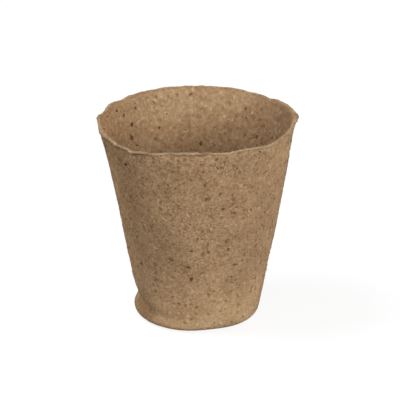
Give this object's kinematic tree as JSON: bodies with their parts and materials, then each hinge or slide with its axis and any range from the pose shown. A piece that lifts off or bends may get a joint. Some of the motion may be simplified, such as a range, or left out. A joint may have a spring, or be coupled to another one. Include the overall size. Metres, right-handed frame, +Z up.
{
  "type": "seedling pot",
  "caption": "Round tapered seedling pot moulded from brown wood fibre felt, open at the top, with a thin uneven rim, a rounded heel and a closed flat base to stand on.",
  "frame": {"origin": "middle of the base's flat underside, on the ground", "axes": "+Z up through the mouth, -Y towards the front that faces the viewer, +X to the right"},
  "size_m": [0.0826, 0.0811, 0.085],
  "materials": {
    "felt": "matte pressed wood fibre, brown with fine flecks",
    "rim_felt": "matte pressed wood fibre, paler and fuzzy at the edge",
    "bark": "dull dark brown bark",
    "sliver": "dull pale wood"
  },
  "bodies": {
    "root": {"base_pan": "felt", "side_wall": "felt", "rim_lip": "rim_felt", "bark_fleck_outer_1": "bark", "bark_fleck_outer_2": "bark", "bark_fleck_outer_3": "bark", "bark_fleck_outer_4": "bark", "bark_fleck_outer_5": "bark", "bark_fleck_outer_6": "bark", "bark_fleck_outer_7": "bark", "bark_fleck_outer_8": "bark", "bark_fleck_outer_9": "bark", "bark_fleck_outer_10": "bark", "bark_fleck_outer_11": "bark", "bark_fleck_outer_12": "bark", "bark_fleck_outer_13": "bark", "bark_fleck_outer_14": "bark", "bark_fleck_outer_15": "bark", "bark_fleck_outer_16": "bark", "bark_fleck_outer_17": "bark", "bark_fleck_outer_18": "bark", "bark_fleck_outer_19": "bark", "bark_fleck_outer_20": "bark", "bark_fleck_outer_21": "bark", "bark_fleck_outer_22": "bark", "bark_fleck_outer_23": "bark", "bark_fleck_inner_1": "bark", "bark_fleck_inner_2": "bark", "bark_fleck_inner_3": "bark", "bark_fleck_inner_4": "bark", "bark_fleck_inner_5": "bark", "bark_fleck_inner_6": "bark", "bark_fleck_inner_7": "bark", "bark_fleck_inner_8": "bark", "bark_fleck_inner_9": "bark", "bark_fleck_inner_10": "bark", "bark_fleck_inner_11": "bark", "bark_fleck_inner_12": "bark", "wood_sliver_1": "sliver", "wood_sliver_2": "sliver", "wood_sliver_3": "sliver", "wood_sliver_4": "sliver"}
  },
  "joints": []
}
